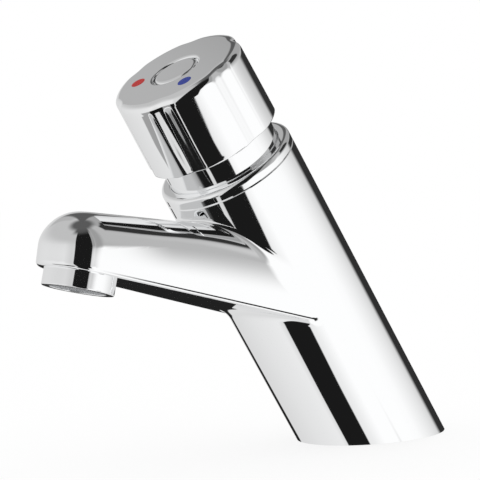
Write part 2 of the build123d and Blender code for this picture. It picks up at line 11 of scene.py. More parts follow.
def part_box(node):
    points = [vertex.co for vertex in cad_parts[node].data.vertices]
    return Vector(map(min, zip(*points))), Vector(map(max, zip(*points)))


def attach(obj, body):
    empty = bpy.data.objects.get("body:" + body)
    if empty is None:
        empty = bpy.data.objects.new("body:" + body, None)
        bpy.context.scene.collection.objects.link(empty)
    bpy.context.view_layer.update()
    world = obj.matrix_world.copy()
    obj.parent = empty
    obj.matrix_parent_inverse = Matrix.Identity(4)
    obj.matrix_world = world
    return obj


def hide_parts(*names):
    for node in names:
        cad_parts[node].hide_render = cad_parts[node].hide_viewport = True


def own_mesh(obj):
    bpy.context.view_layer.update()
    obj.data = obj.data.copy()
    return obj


# Push timed tap. Shapes below are worked out in millimetres and stored in metres.
# The body leans: "h" runs up its axis from the base, "u" square to it towards the tap's back.
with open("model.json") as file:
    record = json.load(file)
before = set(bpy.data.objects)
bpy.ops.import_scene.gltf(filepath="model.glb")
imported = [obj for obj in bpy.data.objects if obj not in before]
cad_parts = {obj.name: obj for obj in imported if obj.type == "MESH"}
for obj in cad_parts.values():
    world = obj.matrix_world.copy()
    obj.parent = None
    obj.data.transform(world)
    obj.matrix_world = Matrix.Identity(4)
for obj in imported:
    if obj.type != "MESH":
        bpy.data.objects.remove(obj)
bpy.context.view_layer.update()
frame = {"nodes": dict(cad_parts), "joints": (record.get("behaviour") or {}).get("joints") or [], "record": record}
mm = 0.001  # metres
touching = 1e-7  # metres; what is nearer than this to a plane lies on it
leastLength = 1e-9  # keeps a division by a vector's length finite
print("frame loaded:", len(frame["nodes"]), "nodes")

turnJoint = next(j for j in frame["joints"] if j["name"] == "temperature")
leanAxis = np.array(turnJoint["axis"], float)
leanAxis /= np.linalg.norm(leanAxis)
backAxis = np.array([leanAxis[2], 0.0, -leanAxis[0]])
sideAxis = np.array([0.0, 1.0, 0.0])

# A span is where one value gives way to the next, smoothly
spoutShape = {
    "tilt": math.radians(16.0),  # the flat underside rises outwards
    "outlet": np.array([-128.0, 0.0, 71.5]),
    "noseRadius": 14.8,
    "noseLead": 0.7,  # how far the nose's centre lies in front of the outlet
    "bulge": 0.45,  # how far the nose's front swells
    "bulgeHeight": 8.5,
    "bulgeReach": 6.0,
    "bulgeCore": 1.0,  # nearer to the nose's own axis than this the swelling fades
    "taper": math.radians(7.024),
    "rootHalfWidth": 24.6,
    "rootRound": 10.0,
    "thickness": 21.0,
    "crownTilt": math.radians(6.4),
    "crownRound": (12.0, 9.5, 16.0),  # at the nose, behind it and at the root
    "noseSpan": (-5.0, 25.0),  # along the spout from the outlet
    "rootSpan": (35.0, 100.0),
    "edgeRound": 1.6,
    "barrel": 0.007,  # how far the sides lean in with the square of the height over their foot
    "barrelFoot": 4.0,
}
bodyShape = {
    "radius": 25.0,
    "top": 119.2,
    "seam": 0.3,  # chamfer where the collar ring sits
}
filletShape = {
    "legReach": (3.6, 2.0),  # how far the fillet reaches under the spout, at the middle and at the sides
    "legSpan": (8.0, 20.0),  # sideways from the middle
    "topReach": (2.2, 6.0),  # the same above the spout
    "topSpan": (18.0, 24.0),
    "heightSpan": (2.0, 13.0),  # over the spout's underside, from leg to top
    "backSpan": (-5.0, -1.0),  # along u, where the fillet fades out
    "leastReach": 0.01,
    "mostRadius": 70.0,
    "range": 12.0,  # the slant is worked out only this near to both skins
    "cosineLimits": (-0.9, 0.9999),
    "leastSpread": 1e-4,  # keeps the arc finite where the skins run on into each other
}
outletDown = np.array([-math.sin(spoutShape["tilt"]), 0.0, -math.cos(spoutShape["tilt"])])
outletIn = np.array([math.cos(spoutShape["tilt"]), 0.0, -math.sin(spoutShape["tilt"])])


def leanPoints(u, y, h):
    # world = u * back + y * side + h * axis
    u, y, h = np.broadcast_arrays(np.asarray(u, float), np.asarray(y, float), np.asarray(h, float))
    return u[..., None] * backAxis + y[..., None] * sideAxis + h[..., None] * leanAxis


def outletPoints(x, y, drop):
    # x runs from the outlet towards the body, drop down from the spout's underside
    x, y, drop = np.broadcast_arrays(x, y, drop)
    inwards = x[..., None] * outletIn
    sideways = y[..., None] * sideAxis
    down = drop[..., None] * outletDown
    return spoutShape["outlet"] + inwards + sideways + down


# Mesh helpers

meshShape = {
    "holdShare": 0.3,  # a row of points holds the flat beside a rounding, this share of its radius away
    "holdMost": 0.12,
    "weld": 0.004,
    "sliver": 0.001,
    "crisp": 35.0,  # degrees; an edge that turns more stays sharp
}


def fullTurn(steps):
    return np.linspace(0, 2 * math.pi, steps, endpoint=False)


@contextmanager
def editing(mesh):
    work = bmesh.new()
    work.from_mesh(mesh)
    yield work
    work.to_mesh(mesh)
    work.free()


def addObject(name, mesh):
    obj = bpy.data.objects.new(name, mesh)
    bpy.context.scene.collection.objects.link(obj)
    return obj


def addMesh(name, points, faces, body, replaced):
    # points in millimetres, any faces; the object stays at the origin
    mesh = bpy.data.meshes.new(name)
    places = np.asarray(points, float).reshape(-1, 3) * mm
    mesh.from_pydata(places.tolist(), [], [list(f) for f in faces])
    mesh.validate()
    mesh.update()
    obj = addObject(name, mesh)
    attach(obj, body)
    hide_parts(*replaced)
    return obj


def gridFaces(rows, columns):
    # quads of a grid whose columns close on themselves
    row = np.arange(rows - 1)[:, None]
    column = np.arange(columns)[None, :]
    a = row * columns + column
    b = row * columns + (column + 1) % columns
    return np.stack([a, b, b + columns, a + columns], axis=-1).reshape(-1, 4)


def endCaps(rows, columns):
    # one face over each end of a tube of gridFaces
    last = (rows - 1) * columns
    return [list(range(columns))[::-1], list(range(last, last + columns))]


def roundProfile(corners, steps=6):
    # line through (radius, height, rounding) corners, with an arc of that rounding at each
    out = []
    for i, (x, y, rounding) in enumerate(corners):
        corner = np.array([x, y], float)
        if rounding <= 0 or i in (0, len(corners) - 1):
            out.append(corner[None])
            continue
        before = np.array(corners[i - 1][:2], float) - corner
        after = np.array(corners[i + 1][:2], float) - corner
        before /= np.linalg.norm(before)
        after /= np.linalg.norm(after)
        half = math.acos(np.clip(before @ after, -1, 1)) / 2
        reach = rounding / math.tan(half)
        inward = (before + after) / np.linalg.norm(before + after)
        middle = corner + inward * (rounding / math.sin(half))
        start = corner + before * reach - middle
        stop = corner + after * reach - middle
        first = math.atan2(start[1], start[0])
        sweep = math.atan2(stop[1], stop[0]) - first
        sweep = (sweep + math.pi) % (2 * math.pi) - math.pi
        t = first + sweep * np.linspace(0, 1, steps + 1)
        hold = min(meshShape["holdMost"], meshShape["holdShare"] * rounding)
        out.append((corner + before * (reach + hold))[None])
        out.append(middle + rounding * np.stack([np.cos(t), np.sin(t)], axis=1))
        out.append((corner + after * (reach + hold))[None])
    return np.concatenate(out)


def smoothFaces(mesh, sharpAngle):
    mesh.polygons.foreach_set("use_smooth", np.full(len(mesh.polygons), True))
    mesh.set_sharp_from_angle(angle=math.radians(sharpAngle))


def closeMesh(mesh, sharpAngle):
    # closes poles and seams, turns every face outwards and keeps the crisp edges crisp
    with editing(mesh) as work:
        bmesh.ops.remove_doubles(work, verts=work.verts, dist=meshShape["weld"] * mm)
        bmesh.ops.dissolve_degenerate(work, edges=work.edges, dist=meshShape["sliver"] * mm)
        bmesh.ops.recalc_face_normals(work, faces=work.faces)
    smoothFaces(mesh, sharpAngle)


def turned(name, corners, body, place, replaced, columns=160, steps=6):
    # surface of revolution: point(theta, row) = place(r cos theta, r sin theta, height)
    profile = roundProfile(corners, steps)
    theta = fullTurn(columns)
    r = profile[:, :1]
    points = place(r * np.cos(theta), r * np.sin(theta), profile[:, 1:])
    obj = addMesh(name, points, gridFaces(len(profile), columns), body, replaced)
    closeMesh(obj.data, meshShape["crisp"])
    return obj


# Body: a smooth field, zero on the skin, made of the leaning column and the spout

def smoothStep(low, high, x):
    t = np.clip((x - low) / (high - low), 0, 1)
    return t * t * (3 - 2 * t)


def fade(first, second, span, x):
    return first + (second - first) * smoothStep(*span, x)


def roundMax(a, b, r):
    # intersection of two fields with its edge rounded by r
    return np.minimum(np.maximum(a, b), -r) + np.hypot(np.maximum(a + r, 0), np.maximum(b + r, 0))


def filletMin(a, b, cosine, radius):
    # union of two fields whose skins meet at a slant: the valley holds a true arc of that radius
    overA = a - radius
    overB = b - radius
    spread = np.maximum(1 - cosine ** 2, filletShape["leastSpread"])
    inside = (overA < cosine * overB) & (overB < cosine * overA)
    reach = np.sqrt(np.maximum(overA ** 2 + overB ** 2 - 2 * cosine * overA * overB, 0) / spread)
    return np.where(inside, radius - reach, np.minimum(a, b))


def fieldNormals(field, p, step=0.02):
    # unit gradient of a field by central differences
    grad = np.stack([field(p + step * axis) - field(p - step * axis) for axis in np.eye(3)], axis=1)
    return grad / np.maximum(np.linalg.norm(grad, axis=1, keepdims=True), leastLength)


def columnField(p):
    return np.hypot(p @ backAxis, p[:, 1]) - bodyShape["radius"]


def spoutField(p):
    # the plan's walls, the flat underside and the crown, with their edges rounded
    s = spoutShape
    y = np.abs(p[:, 1])
    rel = p - s["outlet"]
    along = rel @ outletIn
    height = -(rel @ outletDown)
    lead = along + s["noseLead"]
    side = y * math.cos(s["taper"]) - lead * math.sin(s["taper"]) - s["noseRadius"]
    side = roundMax(side, y - s["rootHalfWidth"], s["rootRound"])
    fromNose = np.hypot(lead, y)
    swell = s["bulge"] * np.exp(-((height - s["bulgeHeight"]) / s["bulgeReach"]) ** 2)
    swell = swell * np.maximum(-lead, 0) / np.maximum(fromNose, s["bulgeCore"])
    nose = fromNose - s["noseRadius"] - swell
    atNose = lead * math.cos(s["taper"]) + y * math.sin(s["taper"]) < 0
    plan = np.where(atNose, nose, side)
    overFoot = np.maximum(height - s["barrelFoot"], 0)
    plan = plan + s["barrel"] * overFoot ** 2 * smoothStep(*s["noseSpan"], along)
    crown = (height - s["thickness"]) * math.cos(s["crownTilt"]) - along * math.sin(s["crownTilt"])
    noseRound, middleRound, rootRound = s["crownRound"]
    crownRound = fade(noseRound, middleRound, s["noseSpan"], along)
    crownRound = crownRound + (rootRound - middleRound) * smoothStep(*s["rootSpan"], along)
    spout = np.maximum(roundMax(plan, -height, s["edgeRound"]), roundMax(plan, crown, crownRound))
    return np.maximum(spout, p @ backAxis)


def bodyField(p):
    # the fillet reaches equally far over both skins, so its radius grows where they nearly run on:
    # radius = reach * sqrt((1 + cosine) / (1 - cosine)), the cosine being that of the two normals
    f = filletShape
    column = columnField(p)
    spout = spoutField(p)
    near = (np.abs(column) < f["range"]) & (np.abs(spout) < f["range"])
    cosine = np.zeros(len(p))
    if near.any():
        q = p[near]
        cosine[near] = np.sum(fieldNormals(columnField, q) * fieldNormals(spoutField, q), axis=1)
    cosine = np.clip(cosine, *f["cosineLimits"])
    y = np.abs(p[:, 1])
    height = -((p - spoutShape["outlet"]) @ outletDown)
    under = fade(*f["legReach"], f["legSpan"], y)
    above = fade(*f["topReach"], f["topSpan"], y)
    reach = fade(under, above, f["heightSpan"], height)
    reach = reach * (1 - smoothStep(*f["backSpan"], p @ backAxis)) + f["leastReach"]
    radius = np.minimum(reach * np.sqrt((1 + cosine) / (1 - cosine)), f["mostRadius"])
    return filletMin(column, spout, cosine, radius)


skinShape = {
    "voxels": (1.44, 1.17, 0.9),  # from the first remesh to the last
    "settleRounds": 6,
    "valleyRange": 7.0,  # smaller faces this near to both skins
    "edgeRange": 2.5,  # and this near to the level of the spout's underside
    "smoothings": 3,
    "smoothFactor": 0.5,
    "cutSpare": 0.2,  # the top cut takes in the column and this much round it
    "cutHeight": 20.0,  # the base cut takes in what lies lower than this
}
roughShape = {
    "columnSides": 64,
    "footLength": 32.5,  # how far the column runs on below the base
    "topLength": 4.0,  # and past its top
    "noseSides": 24,
    "spoutLength": 106.0,
    "rootHalfWidth": 24.25,
}


def meshPoints(mesh):
    places = np.empty(len(mesh.vertices) * 3)
    mesh.vertices.foreach_get("co", places)
    return places.reshape(-1, 3) / mm


def settleMesh(mesh):
    # Newton steps along the gradient until the points lie on the field's zero
    points = meshPoints(mesh)
    for _ in range(skinShape["settleRounds"]):
        points = points - bodyField(points)[:, None] * fieldNormals(bodyField, points)
    mesh.vertices.foreach_set("co", (points * mm).ravel())
    mesh.update()


def remeshed(mesh, voxel):
    # voxel remesh of a mesh, returned as a new mesh
    obj = addObject("rough", mesh)
    mod = obj.modifiers.new("voxels", "REMESH")
    mod.mode = "VOXEL"
    mod.voxel_size = voxel * mm
    mod.use_smooth_shade = True
    graph = bpy.context.evaluated_depsgraph_get()
    new = bpy.data.meshes.new_from_object(obj.evaluated_get(graph))
    bpy.data.objects.remove(obj)
    return new


def roughBody():
    # leaning column and a plain spout, overlapping, both longer than needed
    s, b, rough = spoutShape, bodyShape, roughShape
    sides = rough["columnSides"]
    theta = fullTurn(sides)
    levels = np.array([-rough["footLength"], b["top"] + rough["topLength"]])[:, None]
    column = leanPoints(b["radius"] * np.cos(theta), b["radius"] * np.sin(theta), levels)
    faces = gridFaces(2, sides).tolist() + endCaps(2, sides)
    turn = np.linspace(-math.pi / 2, math.pi / 2, rough["noseSides"])
    nose = np.stack([-s["noseRadius"] * np.cos(turn), s["noseRadius"] * np.sin(turn)], axis=1)
    root = np.array([[rough["spoutLength"], side * rough["rootHalfWidth"]] for side in (1, -1)])
    plan = np.concatenate([nose, root])
    rise = s["thickness"] + plan[:, 0] * math.tan(s["crownTilt"])
    low = outletPoints(plan[:, 0], plan[:, 1], 0.0)
    high = outletPoints(plan[:, 0], plan[:, 1], -rise)
    start = 2 * sides
    faces += (gridFaces(2, len(plan)) + start).tolist()
    faces += [[start + i for i in cap] for cap in endCaps(2, len(plan))]
    points = np.concatenate([column.reshape(-1, 3), low, high])
    mesh = bpy.data.meshes.new("rough")
    mesh.from_pydata((points * mm).tolist(), [], faces)
    with editing(mesh) as work:
        bmesh.ops.recalc_face_normals(work, faces=work.faces)
    return mesh


def refineValley(mesh):
    # smaller faces where the spout grows out of the column and round its underside, then evened out
    points = meshPoints(mesh)
    column = columnField(points)
    nearest = np.maximum(np.abs(column), np.abs(spoutField(points)))
    height = -((points - spoutShape["outlet"]) @ outletDown)
    lowerEdge = (np.abs(height) < skinShape["edgeRange"]) & (column > 0)
    chosen = (nearest < skinShape["valleyRange"]) | lowerEdge
    with editing(mesh) as work:
        edges = [e for e in work.edges if chosen[e.verts[0].index] and chosen[e.verts[1].index]]
        bmesh.ops.subdivide_edges(work, edges=edges, cuts=1, use_grid_fill=True)
        bmesh.ops.triangulate(work, faces=[f for f in work.faces if len(f.verts) > 4])
        for _ in range(skinShape["smoothings"]):
            bmesh.ops.smooth_vert(work, verts=work.verts, factor=skinShape["smoothFactor"],
                                  use_axis_x=True, use_axis_y=True, use_axis_z=True)


def cutSkin(mesh):
    # flat cuts at the base and at the joint with the collar ring, each within its own region
    top = leanAxis * (bodyShape["top"] - bodyShape["seam"]) * mm
    cuts = (
        (Vector((0, 0, 0)), Vector((0, 0, -1)), lambda p: p[:, 2] < skinShape["cutHeight"]),
        (Vector(top), Vector(leanAxis), lambda p: columnField(p) < skinShape["cutSpare"]),
    )
    with editing(mesh) as work:
        for place, normal, region in cuts:
            inside = region(np.array([v.co[:] for v in work.verts]) / mm)
            chosen = {v for v, isIn in zip(work.verts, inside) if isIn}
            faces = [f for f in work.faces if all(v in chosen for v in f.verts)]
            edges = list(dict.fromkeys(e for f in faces for e in f.edges))
            verts = list(dict.fromkeys(v for f in faces for v in f.verts))
            bmesh.ops.bisect_plane(work, geom=verts + edges + faces, dist=touching,
                                   plane_co=place, plane_no=normal, clear_outer=True)


def makeBodySkin():
    firstVoxel, *finerVoxels = skinShape["voxels"]
    mesh = remeshed(roughBody(), firstVoxel)
    for voxel in finerVoxels:
        settleMesh(mesh)
        mesh = remeshed(mesh, voxel)
    refineValley(mesh)
    settleMesh(mesh)
    cutSkin(mesh)
    obj = addObject("bodySkin", mesh)
    mesh.polygons.foreach_set("use_smooth", np.full(len(mesh.polygons), True))
    mesh.normals_split_custom_set_from_vertices(fieldNormals(bodyField, meshPoints(mesh)).tolist())
    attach(obj, "body")
    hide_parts("tap_body")
    print("body skin:", len(mesh.polygons), "faces")
    return obj


bodySkin = makeBodySkin()

footShape = {
    "recessRadius": 16.5, "recessDepth": 12.0,
    "grooveInner": 18.8, "grooveOuter": 21.4, "grooveDepth": 2.0,
    "inletX": -8.05, "inletY": 6.4, "inletRadius": 4.46, "inletDepth": 12.0,
    "studX": 8.0, "studRadius": 3.32, "studDepth": 9.0,
    "columns": 128, "holeSides": 48, "crisp": 30.0,
}


def makeBodyFoot():
    # flat foot with its gasket groove, the recess's wall, and its ceiling with three round holes
    f = footShape
    theta = fullTurn(f["columns"])
    rims = [(bodyShape["radius"] / leanAxis[2], bodyShape["radius"], 0.0)]  # the leaning column's oval
    for radius, depth in ((f["grooveOuter"], 0.0), (f["grooveOuter"], f["grooveDepth"]),
                          (f["grooveInner"], f["grooveDepth"]), (f["grooveInner"], 0.0),
                          (f["recessRadius"], 0.0), (f["recessRadius"], f["recessDepth"])):
        rims.append((radius, radius, depth))
    rows = [np.stack([a * np.cos(theta), c * np.sin(theta), z + 0 * theta], axis=1) for a, c, z in rims]
    faces = gridFaces(len(rims), f["columns"])
    obj = addMesh("bodyFoot", np.concatenate(rows), faces, "body", ("tap_body",))
    holes = [(f["inletX"], side * f["inletY"], f["inletRadius"], f["inletDepth"]) for side in (1, -1)]
    holes.append((f["studX"], 0.0, f["studRadius"], f["studDepth"]))
    level = f["recessDepth"] * mm
    turn = fullTurn(f["holeSides"])
    with editing(obj.data) as work:
        loops = [e for e in work.edges
                 if e.is_boundary and all(abs(v.co.z - level) < touching for v in e.verts)]
        for x, y, r, depth in holes:
            rim = [((x + r * math.cos(t)) * mm, (y + r * math.sin(t)) * mm, level) for t in turn]
            lower = [work.verts.new(place) for place in rim]
            upper = [work.verts.new((v.co.x, v.co.y, level + depth * mm)) for v in lower]
            for i in range(f["holeSides"]):
                j = (i + 1) % f["holeSides"]
                loops.append(work.edges.new((lower[i], lower[j])))
                work.faces.new((lower[i], lower[j], upper[j], upper[i]))
            work.faces.new(upper)
        bmesh.ops.triangle_fill(work, use_beauty=True, use_dissolve=False, edges=loops)
        bmesh.ops.recalc_face_normals(work, faces=work.faces)
    smoothFaces(obj.data, f["crisp"])
    print("body foot done")
    return obj


bodyFoot = makeBodyFoot()

mouthShape = {"boreRadius": 21.6, "boreFloor": 106.0}


def makeMouth():
    # chamfered rim and bore at the column's upper end
    b, m = bodyShape, mouthShape
    corners = [(b["radius"], b["top"] - b["seam"], 0), (b["radius"] - b["seam"], b["top"], 0),
               (m["boreRadius"], b["top"], 0), (m["boreRadius"], m["boreFloor"], 0)]
    return turned("bodyMouth", corners, "body", leanPoints, ("tap_body",))


mouth = makeMouth()

collarShape = {
    "outer": bodyShape["radius"], "inner": 21.05, "bottom": bodyShape["top"], "top": 123.3,
    "round": 1.8, "lip": 0.5, "seam": bodyShape["seam"],
}


def makeCollar():
    c = collarShape
    corners = [(c["inner"], c["bottom"], 0), (c["outer"] - c["seam"], c["bottom"], 0),
               (c["outer"], c["bottom"] + c["seam"], 0), (c["outer"], c["top"], c["round"]),
               (c["inner"], c["top"], c["lip"]), (c["inner"], c["bottom"], 0)]
    return turned("collarRing", corners, "body", leanPoints, ("collar_ring",), steps=10)


collar = makeCollar()

knobShape = {
    "skirtRadius": 21.0, "skirtInner": 19.4, "skirtBottom": 115.0,
    "skirtRound": 0.4, "shoulderRound": 0.3,
    "ceiling": 157.0,  # where the hollow inside ends
    "bottom": 132.1, "top": 161.2, "radius": 24.5, "topRadius": 24.1, "round": 2.8, "lowerRound": 0.5,
    "wallFoot": 1.0, "wallFootLean": 0.02,  # the wall's first row: how high and how far inwards it lies
    "wallGap": 0.3,  # between the wall's last row and the upper rounding
    "wallRows": 44, "arcRows": 26, "columns": 720,
    "arcGap": 0.1, "topRow": 14.0,  # rows that hold the flat top
    "capRecess": 8.75, "recessRound": 0.9, "capDepth": 2.0,
    "fluteCount": 6, "fluteAngle": math.radians(30.0), "fluteHalf": math.radians(13.5),
    "fluteDepth": 0.85,
    "fluteEnd": 6.0,  # how far inside the top's radius a flute ends
    "fluteFade": 5.0,
    "crisp": 32.0,
}


def fluteDepthAt(theta):
    # wave cut into the wall: depth * cos^2 across the flute's width
    k = knobShape
    pitch = 2 * math.pi / k["fluteCount"]
    d = (theta - k["fluteAngle"] + pitch / 2) % pitch - pitch / 2
    return k["fluteDepth"] * np.cos(np.clip(d / k["fluteHalf"], -1, 1) * math.pi / 2) ** 2


def knobProfile():
    # from the middle of the hollow's ceiling, down the skirt and up the wall to the middle of the top
    k = knobShape
    lower = roundProfile([(0.0, k["ceiling"], 0), (k["skirtInner"], k["ceiling"], 0),
                          (k["skirtInner"], k["skirtBottom"], 0),
                          (k["skirtRadius"], k["skirtBottom"], k["skirtRound"]),
                          (k["skirtRadius"], k["bottom"], k["shoulderRound"]),
                          (k["radius"], k["bottom"], k["lowerRound"]),
                          (k["radius"] - k["wallFootLean"], k["bottom"] + k["wallFoot"], 0)], steps=4)
    wallTop = k["top"] - k["round"] - k["wallGap"]
    wallH = np.linspace(k["bottom"] + k["wallFoot"], wallTop, k["wallRows"])[1:]
    slope = (k["radius"] - k["topRadius"]) / (k["top"] - k["bottom"])
    wall = np.stack([k["radius"] - slope * (wallH - k["bottom"]), wallH], axis=1)
    turn = np.linspace(0, math.pi / 2, k["arcRows"])[1:]
    arcRadius = k["topRadius"] - k["round"]
    arcHeight = k["top"] - k["round"]
    arc = np.stack([arcRadius + k["round"] * np.cos(turn), arcHeight + k["round"] * np.sin(turn)], axis=1)
    upper = roundProfile([(arcRadius - k["arcGap"], k["top"], 0), (k["topRow"], k["top"], 0),
                          (k["capRecess"], k["top"], k["recessRound"]),
                          (k["capRecess"], k["top"] - k["capDepth"], 0),
                          (0.0, k["top"] - k["capDepth"], 0)], steps=5)
    return np.concatenate([lower, wall, arc, upper])


def makeKnob():
    # revolved profile whose outer wall is cut back by the six flutes
    k = knobShape
    profile = knobProfile()
    theta = fullTurn(k["columns"])
    r = profile[:, :1]
    h = profile[:, 1:]
    wallShare = np.clip((r - k["topRadius"] + k["fluteEnd"]) / k["fluteFade"], 0, 1)
    wallShare = wallShare * (h > k["bottom"] - meshShape["weld"])
    wallShare[:2] = 0  # the hollow's ceiling
    r = r - fluteDepthAt(theta) * wallShare
    points = leanPoints(r * np.cos(theta), r * np.sin(theta), h)
    faces = gridFaces(len(profile), k["columns"])
    obj = addMesh("pushKnob", points, faces, "knob", ("push_knob",))
    closeMesh(obj.data, k["crisp"])
    print("knob:", len(obj.data.polygons), "faces")
    return obj


knob = makeKnob()

capShape = {"radius": 8.25, "round": 1.2, "bottom": 159.3, "top": 161.15, "crown": 0.02}


def makeCap():
    c = capShape
    corners = [(c["radius"], c["bottom"], 0), (c["radius"], c["top"], c["round"]),
               (c["radius"] / 2, c["top"] - c["crown"], 0), (0.0, c["top"], 0)]
    return turned("knobCap", corners, "knob", leanPoints, ("knob_cap",), steps=8)


cap = makeCap()

dotShape = {
    "radius": 2.6, "circle": 15.0, "angle": math.radians(120.0),
    "top": 161.28, "depth": 1.0, "round": 0.15,
}


def makeDot(name, angle, node):
    d = dotShape

    def place(x, y, h):
        return leanPoints(x + d["circle"] * math.cos(angle), y + d["circle"] * math.sin(angle), h)

    corners = [(d["radius"], d["top"] - d["depth"], 0), (d["radius"], d["top"], d["round"]),
               (0.0, d["top"], 0)]
    return turned(name, corners, "knob", place, (node,), columns=64)


hotDot = makeDot("hotDot", dotShape["angle"], "hot_dot")
coldDot = makeDot("coldDot", -dotShape["angle"], "cold_dot")

# Heights are drops below the spout's underside
aeratorShape = {
    "radius": 12.5, "height": 5.85, "bore": 10.2, "lip": 9.6, "lipHeight": 0.7,
    "edge": 0.35, "lipEdge": 0.21,
    "neckRadius": 11.6, "neckTop": -7.0, "shoulder": -0.02,
}


def makeAeratorRing():
    a = aeratorShape
    lipBack = a["height"] - a["lipHeight"]
    corners = [(a["bore"], a["neckTop"], 0), (a["neckRadius"], a["neckTop"], 0),
               (a["neckRadius"], a["shoulder"], 0), (a["radius"], a["shoulder"], 0),
               (a["radius"], a["height"], a["edge"]), (a["lip"], a["height"], a["lipEdge"]),
               (a["lip"], lipBack, 0), (a["bore"], lipBack, 0), (a["bore"], a["neckTop"], 0)]
    return turned("aeratorRing", corners, "body", outletPoints, ("aerator_ring",),
                  columns=144)


aeratorRing = makeAeratorRing()

# Springs: place is u and the distance from the middle plane, and travel is that of the joint
returnShape = {
    "place": (0.0, 0.0), "foot": 109.5, "top": 156.2, "standsOn": "foot",
    "radius": 14.5, "wire": 1.4, "turns": 12, "travel": 7.0,
}
checkShape = {
    "place": (5.5, footShape["inletY"]), "foot": 47.5, "top": 56.0, "standsOn": "top",
    "radius": 1.7, "wire": 0.4, "turns": 6, "travel": 1.5,
}
wireShape = {"stepsPerTurn": 32, "sides": 10, "crisp": 50.0}


def makeSpring(name, node, shape):
    # helix of round wire:
    # centre(t) = radius (cos t, sin t), rising steadily with t
    c = shape
    rows = wireShape["stepsPerTurn"] * c["turns"] + 1
    t = np.linspace(0, 2 * math.pi * c["turns"], rows)[:, None]
    rise = (c["top"] - c["foot"] - c["wire"]) / t[-1, 0]
    perRadian = math.hypot(rise, c["radius"])
    low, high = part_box(node)
    middleU = c["place"][0]
    middleY = c["place"][1] * math.copysign(1, low[1] + high[1])
    turn = fullTurn(wireShape["sides"])
    across = c["wire"] / 2 * np.sin(turn)
    r = c["radius"] + c["wire"] / 2 * np.cos(turn)
    u = r * np.cos(t) + across * (rise / perRadian) * np.sin(t) + middleU
    y = r * np.sin(t) - across * (rise / perRadian) * np.cos(t) + middleY
    h = c["foot"] + c["wire"] / 2 + rise * t + across * (c["radius"] / perRadian)
    faces = gridFaces(rows, wireShape["sides"]).tolist() + endCaps(rows, wireShape["sides"])
    obj = addMesh(name, leanPoints(u, y, h), faces, "body", (node,))
    closeMesh(obj.data, wireShape["crisp"])
    anchor = leanPoints(middleU, middleY, c[c["standsOn"]]) * mm
    room = c["top"] - c["foot"]
    (room - c["travel"]) / room
    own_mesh(obj)
    return obj


springs = [
    makeSpring("returnSpring", "return_spring", returnShape),
    makeSpring("hotCheckSpring", "hot_check_spring", checkShape),
    makeSpring("coldCheckSpring", "cold_check_spring", checkShape),
]
print("pieces made")


# Shader maths: a wrapped socket adds its own Math nodes

class Shade:
    def __init__(self, tree, socket):
        self.tree = tree
        self.socket = socket

    def math(self, operation, *others):
        return mathNode(self.tree, operation, self, *others)

    def __add__(self, other):
        return self.math("ADD", other)

    __radd__ = __add__

    def __sub__(self, other):
        return self.math("SUBTRACT", other)

    def __rsub__(self, other):
        return mathNode(self.tree, "SUBTRACT", other, self)

    def __mul__(self, other):
        return self.math("MULTIPLY", other)

    def __truediv__(self, other):
        return self.math("DIVIDE", other)

    def step(self, low, high):
        # smooth ramp from 0 at low to 1 at high
        node = self.tree.nodes.new("ShaderNodeMapRange")
        node.interpolation_type = "SMOOTHSTEP"
        self.tree.links.new(self.socket, node.inputs["Value"])
        node.inputs["From Min"].default_value = low
        node.inputs["From Max"].default_value = high
        return Shade(self.tree, node.outputs["Result"])

    def between(self, low, high, softness):
        # 1 from low to high, with edges that soft
        half = softness / 2
        return self.step(low - half, low + half) * (1 - self.step(high - half, high + half))


def fill(tree, target, value):
    # a socket takes a link from another, or a plain value
    if isinstance(value, Shade):
        tree.links.new(value.socket, target)
    else:
        target.default_value = value


def mathNode(tree, operation, *values):
    node = tree.nodes.new("ShaderNodeMath")
    node.operation = operation
    for target, value in zip(node.inputs, values):
        fill(tree, target, value)
    return Shade(tree, node.outputs[0])


class Nodes:
    def __init__(self, tree):
        self.tree = tree
        tree.nodes.clear()

    def add(self, kind, settings=None, **inputs):
        # any node: settings first, then values or links by socket name, or by number as i0
        node = self.tree.nodes.new(kind)
        for key, value in (settings or {}).items():
            setattr(node, key, value)
        for key, value in inputs.items():
            numbered = key[0] == "i" and key[1:].isdigit()
            fill(self.tree, node.inputs[int(key[1:]) if numbered else key.replace("_", " ")], value)
        return node

    def ramp(self, socket, stops):
        # straight lines between (place, level) stops, both from 0 to 1
        node = self.add("ShaderNodeValToRGB", None, Fac=socket)
        for i, (place, tone) in enumerate(stops):
            stop = node.color_ramp.elements[i] if i < 2 else node.color_ramp.elements.new(place)
            stop.position = place
            stop.color = (tone, tone, tone, 1.0)
        return self.out(node)

    def noise(self, place, scale, detail):
        node = self.add("ShaderNodeTexNoise", None, Vector=place, Scale=scale, Detail=detail)
        return self.out(node, "Fac")

    def out(self, node, name=0):
        return Shade(self.tree, node.outputs[name])


chromeLook = {
    "colour": (0.985, 0.99, 0.995),
    "cloudScale": 60.0, "cloudDetail": 3.0, "cloudSpan": (0.35, 0.75), "cloudRoughness": 0.02,
}
grainLook = {
    "scale": 300.0, "detail": 4.0, "span": (0.3, 0.7), "dark": 0.88, "roughness": 0.1,
    "strength": 0.1, "height": 0.00005,  # metres
}


def newMaterial(name):
    mat = bpy.data.materials.new(name)
    mat.use_nodes = True
    return mat, Nodes(mat.node_tree)


def chromeMaterial(name, roughness):
    # polished plating with a faint cloudiness in its gloss
    c = chromeLook
    mat, n = newMaterial(name)
    place = n.out(n.add("ShaderNodeTexCoord"), "Object")
    cloud = n.noise(place, c["cloudScale"], c["cloudDetail"])
    gloss = roughness + cloud.step(*c["cloudSpan"]) * c["cloudRoughness"]
    shader = n.add("ShaderNodeBsdfPrincipled", None, Base_Color=(*c["colour"], 1.0), Metallic=1.0,
                   Roughness=gloss)
    n.add("ShaderNodeOutputMaterial", None, Surface=n.out(shader))
    return mat


